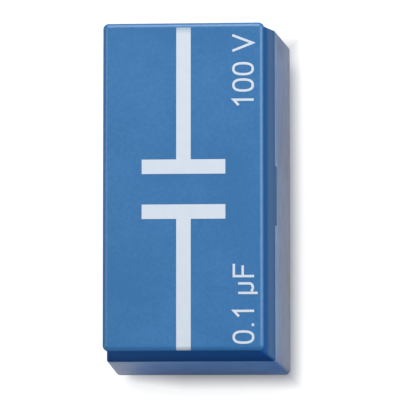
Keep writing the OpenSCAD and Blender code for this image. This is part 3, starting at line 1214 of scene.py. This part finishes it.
@dataclass
class Lettering:
    """The ratings' characters: each is a list of strokes, drawn from its own zero along the line."""

    cap_h: float = 2.97
    stroke_w: float = 0.337
    figure_w: float = 1.88
    oval_overshoot: float = 0.06
    oval_power: float = 0.8
    oval_steps: int = 48
    flag_x: float = 0.12
    flag_drop: float = 0.86
    one_x: float = 0.88
    volt_x: float = 0.18
    volt_half_w: float = 1.1
    arm_w: float = 1.66
    arm_rise: float = 0.53
    small_h: float = 2.2
    micro_w: float = 1.66
    micro_tail: float = 0.5
    bowl_squash: float = 0.85
    bowl_steps: int = 12
    bowl_hidden: int = 2
    point_w: float = 0.36

    @property
    def half(self) -> float:
        """Half the width of a stroke."""
        return self.stroke_w / 2

    def zero(self) -> list[Stroke]:
        """A nought: a rounded oval whose half sizes go with a softened cosine and sine.

        Returns:
            Its strokes.
        """
        size = np.array([self.figure_w, self.cap_h + self.oval_overshoot]) / 2 - self.half
        angle = np.arange(self.oval_steps) / self.oval_steps * TURN
        wave = np.stack([np.cos(angle), np.sin(angle)], axis=-1)
        centre = np.array([self.figure_w, self.cap_h]) / 2
        return [Stroke(centre + size * np.sign(wave) * np.abs(wave) ** self.oval_power, looped=True)]

    def one(self) -> list[Stroke]:
        """A one: a flag and a stem in one stroke."""
        flag = [self.flag_x, self.cap_h - self.flag_drop]
        return [Stroke(np.array([flag, [self.one_x, self.cap_h - self.half], [self.one_x, 0]]))]

    def volt(self) -> list[Stroke]:
        """The unit of the rated voltage: two slanting legs in one stroke."""
        legs = np.array([[0, self.cap_h], [self.volt_half_w, self.half], [2 * self.volt_half_w, self.cap_h]])
        return [Stroke(legs + [self.volt_x, 0])]

    def farad(self) -> list[Stroke]:
        """The unit of the capacitance: a stem with two arms.

        Returns:
            Its strokes.
        """
        top = self.cap_h - self.half
        middle = self.arm_rise * self.cap_h
        return [
            Stroke(np.array([[self.half, self.cap_h], [self.half, 0]])),
            Stroke(np.array([[self.stroke_w, top], [self.figure_w, top]])),
            Stroke(np.array([[self.stroke_w, middle], [self.arm_w, middle]])),
        ]

    def micro(self) -> list[Stroke]:
        """The unit's prefix: a long stem, and a bowl that sweeps a half turn to a short stem.

        Returns:
            Its strokes.
        """
        angle = np.linspace(np.pi, TURN, self.bowl_steps + 1)[self.bowl_hidden:]
        bowl_r = (self.micro_w - 3 * self.half) / 2
        bowl_h = bowl_r * self.bowl_squash
        right = self.micro_w - self.half
        bowl_x = right - bowl_r + bowl_r * np.cos(angle)
        bowl_y = self.half + bowl_h + bowl_h * np.sin(angle)
        bowl = np.stack([bowl_x, bowl_y], axis=-1)
        return [
            Stroke(np.array([[self.half, self.small_h], [self.half, -self.micro_tail]])),
            Stroke(np.concatenate([bowl, [[right, self.small_h]]])),
        ]

    def point(self) -> list[Stroke]:
        """A decimal point."""
        return [Stroke(np.array([[0, self.half], [self.point_w, self.half]]))]


@dataclass
class PrintedFace:
    """The white print on the top plate: the circuit symbol and the plain ratings."""

    cover: Cover
    letters: Lettering = field(default_factory=Lettering)
    ink_t: float = 0.03
    ink_sink: float = 0.01
    line_w: float = 2.02
    plate_l: float = 11.66
    plate_gap: float = 4.26
    shift_x: float = 0.05
    shift_y: float = -0.44
    bar_ends: dict[End, float] = field(default_factory=lambda: {End.FRONT: 22.8, End.REAR: 22.21})
    bend_steps: int = 8
    baseline_x: float = 9.85

    def over_edge(self, x: Array, along: Array, lift: float) -> Array:
        """Points on the face, bent down over its rounded end.

        Up to the start of the rounding the distance from the middle is Y itself. Past it, the rest of the
        distance over the edge's radius is an angle, whose sine carries Y on and whose cosine lowers Z.

        Args:
            x: Places across.
            along: Distances from the middle, on the skin.
            lift: Height above the skin.

        Returns:
            Points, distances by places by 3.
        """
        radius = self.cover.plate_edge_r
        flat = self.cover.flat[1]
        angle = np.maximum(along - flat, 0) / radius
        y = np.minimum(along, flat) + (radius + lift) * np.sin(angle)
        z = self.cover.fit.top_z - radius + (radius + lift) * np.cos(angle)
        return np.stack(np.broadcast_arrays(x, y[:, None], z[:, None]), axis=-1)

    def symbol(self, material: bpy.types.Material) -> None:
        """Builds and dresses the symbol: two plates, each with a line that runs over its end of the face.

        Args:
            material: The ink.
        """
        skin = Patchwork()
        edge_r = self.cover.plate_edge_r
        flat = self.cover.flat[1]
        across = np.array([-self.plate_l, -self.line_w, self.line_w, self.plate_l]) / 2
        for end, reach in self.bar_ends.items():
            x = across + end.value * self.shift_x
            near = self.plate_gap / 2 + end.value * self.shift_y
            past = edge_r * math.asin((reach - flat) / edge_r)
            bend = flat + past * np.linspace(0, 1, self.bend_steps + 1)
            along = np.concatenate([[near, near + self.line_w], bend])
            cells = np.zeros((len(along) - 1, len(x) - 1), dtype=bool)
            cells[0] = True
            cells[:, 1] = True
            top = self.over_edge(x, along, self.ink_t)
            bottom = self.over_edge(x, along, -self.ink_sink)
            if end is End.FRONT:
                top, bottom = (points * np.array([-1, -1, 1]) for points in (top, bottom))
            skin.add_slab(top, bottom, cells)
        piece = skin.to_object("printed_circuit_symbol")
        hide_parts("printed_symbol")
        dress(piece, material)

    def lay(self, skin: Patchwork, stroke: Stroke, start_y: float) -> None:
        """Adds one stroke of the ratings: a flat bar of the stroke's width on its path, mitred at bends.

        The path's sides lie half a stroke to its left and right. At a bend they lie along the sum of both
        runs' left directions over one plus their product. The ratings read along +Y, so a path's height
        points to -X.

        Args:
            skin: The piece's surface.
            stroke: The stroke.
            start_y: Where the path's zero lies.
        """
        path, looped = stroke.path, stroke.looped
        run = np.diff(np.concatenate([path, path[:1]]) if looped else path, axis=0)
        run /= np.linalg.norm(run, axis=1)[:, None]
        left = np.stack([-run[:, 1], run[:, 0]], axis=-1)
        before = np.roll(left, 1, axis=0) if looped else np.concatenate([left[:1], left])
        after = left if looped else np.concatenate([left, left[-1:]])
        mitre = (before + after) / (1 + np.sum(before * after, axis=1))[:, None]
        sides = path[:, None] + mitre[:, None] * np.array([1, -1, -1, 1])[:, None] * self.letters.half
        z = self.cover.fit.top_z + np.array([self.ink_t, self.ink_t, -self.ink_sink, -self.ink_sink])
        corners = (self.baseline_x - sides[..., 1], start_y + sides[..., 0], z)
        rings = np.stack(np.broadcast_arrays(*corners), axis=-1)
        if looped:
            skin.add_loft(rings, looped=True)
        else:
            skin.add_bar(rings)

    def ratings(self, material: bpy.types.Material) -> None:
        """Builds and dresses the plain ratings along the right edge, one piece each.

        Args:
            material: The ink.
        """
        zero, one, point = self.letters.zero(), self.letters.one(), self.letters.point()
        volt, farad, micro = self.letters.volt(), self.letters.farad(), self.letters.micro()
        lines = {
            "printed_capacitance": ((-21.97, zero), (-19.52, point), (-18.29, one), (-15.09, micro),
                                    (-12.76, farad)),
            "printed_voltage": ((11.12, one), (13.11, zero), (15.4, zero), (18.68, volt)),
        }
        for name, characters in lines.items():
            skin = Patchwork()
            for start_y, strokes in characters:
                for stroke in strokes:
                    self.lay(skin, stroke, start_y)
            dress(skin.to_object(name), material)


@dataclass
class Terminal:
    """One plug and what is bolted to it."""

    end: End
    pitch: float = 0.7
    ridge_h: float = 0.16
    ridge_half_w: float = 0.4
    ridge_sink: float = 0.02
    ridge_least: float = 0.02
    ridge_steps: int = 240
    stud_chamfer: float = 0.4

    def thread(self, material: bpy.types.Material) -> None:
        """Builds and dresses the thread that shows above the nut.

        A three-sided ridge is carried along a helix: the angle runs round the stud while the height climbs
        one pitch a turn, and the ridge fades out over half a turn at both ends.

        Args:
            material: The stud's material.
        """
        stud = f"plug_pin_{self.end.word}"
        stud_high = box_mm(stud)[1]
        nut_top = box_mm(f"hex_nut_{self.end.word}")[1][2]
        centre = middle_mm(stud)[:2]
        stud_r = np.max(stud_high[:2] - centre) / 2
        start_z = nut_top + self.pitch / 4
        stop_z = stud_high[2] - self.stud_chamfer
        turns = (stop_z - start_z) / self.pitch
        share = np.linspace(0, 1, self.ridge_steps)[:, None]
        angle = share * turns * TURN
        fade = np.clip(np.minimum(share, 1 - share) * turns * 2, self.ridge_least, 1)
        reach = stud_r - self.ridge_sink + fade * self.ridge_h * np.array([0, 1, 0])
        half_w = fade * self.pitch * self.ridge_half_w
        z = start_z + share * (stop_z - start_z) + half_w * np.array([1, 0, -1])
        x = centre[0] + reach * np.cos(angle)
        y = centre[1] + reach * np.sin(angle)
        skin = Patchwork()
        skin.add_bar(np.stack([x, y, z], axis=-1))
        dress(skin.to_object(f"stud_thread_{self.end.word}"), material)

    def build(self, worn: dict[Slot, bpy.types.Material]) -> None:
        """Dresses the plug and its hardware, and adds the thread.

        Args:
            worn: The part's materials, by slot.
        """
        hardware = {
            "plug_pin": Slot.NICKEL,
            "hex_nut": Slot.NICKEL,
            "flat_washer": Slot.ZINC,
            "lock_washer": Slot.ZINC,
            "solder_lug": Slot.BRASS,
        }
        for stem, slot in hardware.items():
            dress(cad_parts[f"{stem}_{self.end.word}"], worn[slot])
        self.thread(worn[Slot.NICKEL])


@dataclass
class CapacitorElement:
    """The wrapped capacitor with its resin ends, leads and solder."""

    body: str = "capacitor_body"

    def build(self, worn: dict[Slot, bpy.types.Material]) -> None:
        """Dresses the capacitor's pieces.

        Args:
            worn: The part's materials, by slot.
        """
        dress(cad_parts[self.body], worn[Slot.WRAP])
        wiring = {"end_seal": Slot.RESIN, "capacitor_lead": Slot.WIRE, "solder_joint": Slot.SOLDER}
        for end in End:
            for stem, slot in wiring.items():
                dress(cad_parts[f"{stem}_{end.word}"], worn[slot])


# The studio


@dataclass(frozen=True)
class FloorPaper(Finish):
    """White floor that keeps the shadow, lifted for what looks straight at it, with a painted contact shadow
    round the part in its colour and its glow.
    """

    foot: tuple[float, float]
    colour: Colour = (0.72, 0.72, 0.72)
    lift: float = 0.36
    # Colour of the painted contact shadow round the part.
    near: Colour = (0.47, 0.475, 0.49)
    behind_mm: float = 3.2
    fade_mm: float = 3.2
    fade_in_mm: float = 1.7
    slip: tuple[float, float] = (-0.25, -0.3)
    opens_mm: float = 4.6
    opening: float = 0.16
    fibre_mm: float = 0.6
    fibre_depth: float = 0.002

    def fade(self, graph: Graph) -> Wire:
        """How far the floor has cleared from the painted contact shadow: 0 under the part, 1 well beside it.

        It grows over a short way round the foot's rectangle, which is stretched a little behind and slipped
        to the front left: the greater of the distances outside its half width and its half length, over the
        fade. Left of a line beside the middle, a share of the way past that line is added, so the shadow
        thins out.

        Args:
            graph: The material's node tree.

        Returns:
            The share, from 0 to 1.
        """
        half_w, half_l = self.foot[0] * MM, (self.foot[1] + self.behind_mm / 2) * MM
        middle = (self.slip[0] * MM, (self.behind_mm / 2 + self.slip[1]) * MM, 0.0)
        spot = graph.node("ShaderNodeVectorMath", {"operation": "SUBTRACT"}, {0: graph.place(), 1: middle})
        spot = graph.node("ShaderNodeVectorMath", {"operation": "ABSOLUTE"}, {0: spot})
        x, y = (graph.axis(spot, axis) for axis in "XY")
        outside = (x - half_w).most(y - half_l) + self.fade_in_mm * MM
        leftward = (0.0 - graph.axis(graph.place(), "X") - self.opens_mm * MM).most(0.0)
        return ((outside + leftward * self.opening) / (self.fade_mm * MM)).held()

    def surface(self, graph: Graph) -> Wire:
        """Adds an even glow for camera, glossy and transmission rays to a matt sheet, beside the part only,
        and darkens the sheet's colour near the part: both paint the contact shadow.

        Args:
            graph: The material's node tree.

        Returns:
            The shader.
        """
        fade = self.fade(graph)
        fibre = graph.noise(self.fibre_mm, detail=3.0)
        paper = graph.node("ShaderNodeBsdfDiffuse", inputs={
            "Color": graph.mix(fade, self.near, self.colour),
            "Normal": graph.bump(fibre, self.fibre_depth),
        })
        kinds = ("Is Camera Ray", "Is Glossy Ray", "Is Transmission Ray")
        camera, glossy, through = (graph.node("ShaderNodeLightPath", output=kind) for kind in kinds)
        strength = camera.most(glossy).most(through) * fade * self.lift
        glow = graph.node("ShaderNodeEmission", inputs={"Color": (1.0, 1.0, 1.0), "Strength": strength})
        return graph.node("ShaderNodeAddShader", inputs={0: paper, 1: glow})


@dataclass(frozen=True)
class StageCard(Finish):
    """Matt card that is seen from above only, putting a painted reflection and painted shade on the part."""

    colour: Colour

    def surface(self, graph: Graph) -> Wire:
        """Puts a matt colour on the front and leaves the back see-through.

        Args:
            graph: The material's node tree.

        Returns:
            The shader.
        """
        front = graph.node("ShaderNodeBsdfDiffuse", inputs={"Color": self.colour})
        back = graph.node("ShaderNodeBsdfTransparent")
        is_back = graph.node("ShaderNodeNewGeometry", output="Backfacing")
        return graph.blend(is_back, front, back)


class LampKind(Enum):
    """Kinds of lamp, as Blender names them."""

    SUN = "SUN"
    SOFT_BOX = "AREA"


@dataclass
class Studio:
    """Floor, cards, lamps, sky and camera."""

    focal_px: float = 3112.644
    picture_px: int = 400
    sensor_mm: float = 36.0
    camera_turn_deg: tuple[float, float, float] = (-5.03143, -3.96637, 0.36461)
    camera_shift: tuple[float, float] = (-2.35051, 1.95791)
    camera_distance: float = 432.5334
    camera_clip: tuple[float, float] = (10.0, 20000.0)
    floor_r: float = 2500.0
    floor_gap: float = 0.02
    card_lift: float = 0.5
    sheet_steps: int = 8
    sky_dim: Colour = (0.02, 0.022, 0.025)
    sky_pale: Colour = (0.45, 0.46, 0.47)
    sky_overhead: Colour = (0.6, 0.61, 0.63)
    sky_sides: float = 0.5
    sky_right: float = 0.2
    sky_most: float = 0.8
    overhead_power: float = 3.0

    def flat_sheet(self, name: str, low: tuple[float, float], high: tuple[float, float], height: float,
                   finish: Finish) -> bpy.types.Object:
        """Makes a flat stage sheet: a grid of two parameters, X and Y, at one height.

        Args:
            name: Name of the sheet.
            low: Its lowest X and Y.
            high: Its highest X and Y.
            height: Its height.
            finish: Its finish.

        Returns:
            The new object.
        """
        x, y = np.meshgrid(*np.linspace(low, high, self.sheet_steps + 1).T)
        skin = Patchwork()
        skin.add_skin(skin.add_points(np.stack([x, y, height + 0 * x], axis=-1)))
        sheet = skin.to_object(name)
        sheet.data.materials.append(finish.material())
        return sheet

    def floor(self) -> bpy.types.Object:
        """Lays the floor under the plugs' tips, and dark and blue cards over it, unseen by the camera, that
        paint dark and blue reflections and shade onto the part.

        Returns:
            The floor.
        """
        floor_z = CAD_BOX[0].z / MM - self.floor_gap
        reach = self.floor_r
        paper = FloorPaper("white floor paper", tuple(box_mm("base_housing")[1][:2].tolist()))
        floor = self.flat_sheet("floor_sheet", (-reach, -reach), (reach, reach), floor_z, paper)
        # Cards seen only in the part's reflections and bounced light: painted dark and blue reflections and
        # painted shade.
        cards = {
            "front_reflection_card": ((-13.0, -150.0), (150.0, -29.5), (0.0, 0.19, 0.65)),
            "right_reflection_card": ((33.0, -29.5), (150.0, 8.0), (0.05, 0.13, 0.4)),
            "far_right_reflection_card": ((28.0, 8.0), (150.0, 150.0), (0.05, 0.12, 0.36)),
            "left_reflection_card": ((-150.0, -29.5), (-37.0, 150.0), (0.10, 0.10, 0.10)),
            "rear_reflection_card": ((-37.0, 39.0), (33.0, 150.0), (0.10, 0.10, 0.10)),
        }
        for name, (low, high, colour) in cards.items():
            card = self.flat_sheet(name, low, high, floor_z + self.card_lift, StageCard(name, colour))
            card.visible_camera = False
            card.visible_shadow = False
            card.visible_transmission = False
        return floor

    def sky(self) -> None:
        """Sets the soft surrounding light: bright overhead, pale at the sides and behind, dim in front.

        The pale share of the horizon grows from front to back, with the square of the way to either side,
        and a little to the right.
        """
        world = bpy.data.worlds.new("studio_sky")
        graph = Graph(world)
        way = graph.node("ShaderNodeTexCoord", output="Generated")
        across, along, above = (graph.axis(way, axis) for axis in "XYZ")
        pale = along * 0.5 + 0.5 + across * across * self.sky_sides + across * self.sky_right
        horizon = graph.mix(pale * self.sky_most, self.sky_dim, self.sky_pale)
        tone = graph.mix(above.most(0.0) ** self.overhead_power, horizon, self.sky_overhead)
        back = graph.node("ShaderNodeBackground", inputs={"Color": tone, "Strength": 1.0})
        graph.node("ShaderNodeOutputWorld", inputs={"Surface": back})
        bpy.context.scene.world = world

    def lamp(self, name: str, kind: LampKind, at: tuple[float, float, float], share: float, size: float,
             tall: float = 0.0) -> bpy.types.Object:
        """Hangs a lamp that looks at the middle of the printed face.

        A sun gives its energy straight to the face. A soft box gives its power over pi, times the cosine of
        its slant, over the distance squared.

        Args:
            name: Name of the lamp.
            kind: Its kind.
            at: Its place.
            share: What it adds to the printed face's light, where 1 shows a white face as white.
            size: Width of a soft box, or the angle in degrees that a sun fills.
            tall: Height of a soft box.

        Returns:
            The lamp.
        """
        aim = Vector((0, 0, CAD_BOX[1].z)) - Vector(at) * MM
        data = bpy.data.lights.new(name, kind.value)
        if kind is LampKind.SUN:
            data.energy = share * math.pi
            data.angle = math.radians(size)
        else:
            data.energy = share * math.pi**2 * aim.length**3 / abs(aim.z)
            data.shape = "RECTANGLE"
            data.size = size * MM
            data.size_y = tall * MM
        lamp = bpy.data.objects.new(name, data)
        lamp.location = Vector(at) * MM
        lamp.rotation_euler = aim.to_track_quat("-Z", "Y").to_euler()
        bpy.context.scene.collection.objects.link(lamp)
        return lamp

    def lamps(self, floor: bpy.types.Object) -> None:
        """Hangs a sun above for the floor alone, and soft boxes round the part for all but the floor.

        Args:
            floor: The floor.
        """
        box = LampKind.SOFT_BOX
        above = [self.lamp("shadow_sun", LampKind.SUN, (0.0, 24.0, 1000.0), 0.66, 10.0)]
        boxes = [
            self.lamp("left_box", box, (-240.0, 60.0, 400.0), 0.15, 160.0, 160.0),
            self.lamp("right_box", box, (330.0, 60.0, 280.0), 0.29, 220.0, 380.0),
            self.lamp("rear_box", box, (0.0, 430.0, 330.0), 0.42, 320.0, 460.0),
        ]
        for lamps, state in ((above, "INCLUDE"), (boxes, "EXCLUDE")):
            linked = bpy.data.collections.new(f"floor_{state.lower()}d")
            linked.objects.link(floor)
            linked.collection_objects[0].light_linking.link_state = state
            for lamp in lamps:
                lamp.light_linking.receiver_collection = linked

    def camera(self) -> None:
        """Sets the camera by a turn about the middle of the printed face, a shift and a distance."""
        turns = zip("XYZ", self.camera_turn_deg)
        turn_x, turn_y, turn_z = (Matrix.Rotation(math.radians(angle), 3, axis) for axis, angle in turns)
        back = (turn_z @ turn_y @ turn_x).transposed()
        place = back @ Vector((-self.camera_shift[0], -self.camera_shift[1], self.camera_distance)) * MM
        data = bpy.data.cameras.new("camera")
        data.sensor_width = self.sensor_mm
        data.lens = self.focal_px * self.sensor_mm / self.picture_px
        data.clip_start, data.clip_end = (distance * MM for distance in self.camera_clip)
        camera = bpy.data.objects.new("camera", data)
        camera.matrix_world = Matrix.Translation(place + Vector((0, 0, CAD_BOX[1].z))) @ back.to_4x4()
        bpy.context.scene.collection.objects.link(camera)
        bpy.context.scene.camera = camera

    def build(self) -> None:
        """Sets up the whole studio."""
        self.camera()
        floor = self.floor()
        self.sky()
        self.lamps(floor)
        bpy.context.scene.view_settings.view_transform = "Standard"


def finishes() -> dict[Slot, bpy.types.Material]:
    """Makes the part's finishes.

    Returns:
        One material for each slot of the record.
    """
    axis_z = float(middle_mm("capacitor_body")[2])
    seam_z = float(box_mm("base_housing")[1][2])
    made = {
        # Painted light and shade in the blue: a paler belt on the long walls, and a darker lower edge by the
        # seam.
        Slot.BLUE: MouldedPlastic(
            "satin blue plastic", colour=(0.003, 0.122, 0.328), drift=(0.021, 0.166, 0.411),
            wall=(0.012, 0.098, 0.305), painted_light_belt=(0.082, 0.168, 0.295), edge=(0.008, 0.052, 0.19),
            roughness=0.41, wall_roughness=0.9, seam_z=seam_z),
        Slot.INK: PrintInk(
            "pale print", colour=(0.595, 0.66, 0.735), thin=(0.55, 0.625, 0.715), under=(0.03, 0.16, 0.36)),
        # Painted in the clear: a paler rim as light, and a darker foot and bottom edge as shade.
        Slot.CLEAR: ClearPlastic(
            "smoky clear plastic", tint=(0.82, 0.93, 1.0), shade_and_mottle_tint=(0.141, 0.196, 0.275),
            rim_light=(0.28, 0.42, 0.62), depth_colour=(0.6, 0.78, 0.925), depth_density=410.0,
            roughness=0.45, rim_z=seam_z),
        Slot.NICKEL: PlatedMetal(
            "turned nickel", colour=(0.66, 0.63, 0.58), dull=(0.60, 0.57, 0.52), roughness=0.22),
        Slot.ZINC: PlatedMetal(
            "zinc plate", colour=(0.55, 0.56, 0.58), dull=(0.48, 0.50, 0.53), roughness=0.34,
            marks=(1.0, 1.0, 1.0)),
        Slot.BRASS: PlatedMetal(
            "tinned brass", colour=(0.64, 0.63, 0.60), dull=(0.58, 0.56, 0.52), roughness=0.36,
            marks=(1.0, 0.1, 0.1)),
        Slot.WRAP: FilmWrap(
            "yellow film wrap", colour=(0.83, 0.52, 0.04), shade=(0.76, 0.45, 0.03), axis_z=axis_z),
        Slot.RESIN: CastResin("amber resin", colour=(0.60, 0.32, 0.05), deep=(0.48, 0.24, 0.03)),
        Slot.WIRE: PlatedMetal(
            "tinned wire", colour=(0.68, 0.68, 0.68), dull=(0.60, 0.60, 0.60), roughness=0.24,
            marks=(1.0, 0.05, 1.0)),
        Slot.SOLDER: PlatedMetal(
            "bright solder", colour=(0.58, 0.59, 0.61), dull=(0.50, 0.51, 0.54), roughness=0.2,
            marks=(1.0, 1.0, 1.0), mark_mm=0.5, mark_depth=0.03),
    }
    return {slot: finish.material() for slot, finish in made.items()}


def main() -> None:
    """Builds the studio and the part."""
    logging.basicConfig(level=logging.INFO, format="%(message)s")
    Studio().build()
    worn = finishes()
    fit = HousingFit()
    cover = Cover(fit)
    cover.build(worn[Slot.BLUE])
    printed = PrintedFace(cover)
    printed.symbol(worn[Slot.INK])
    printed.ratings(worn[Slot.INK])
    BaseHousing(fit).build(worn[Slot.CLEAR])
    for end in End:
        Terminal(end).build(worn)
    CapacitorElement().build(worn)


if __name__ == "__main__":
    main()
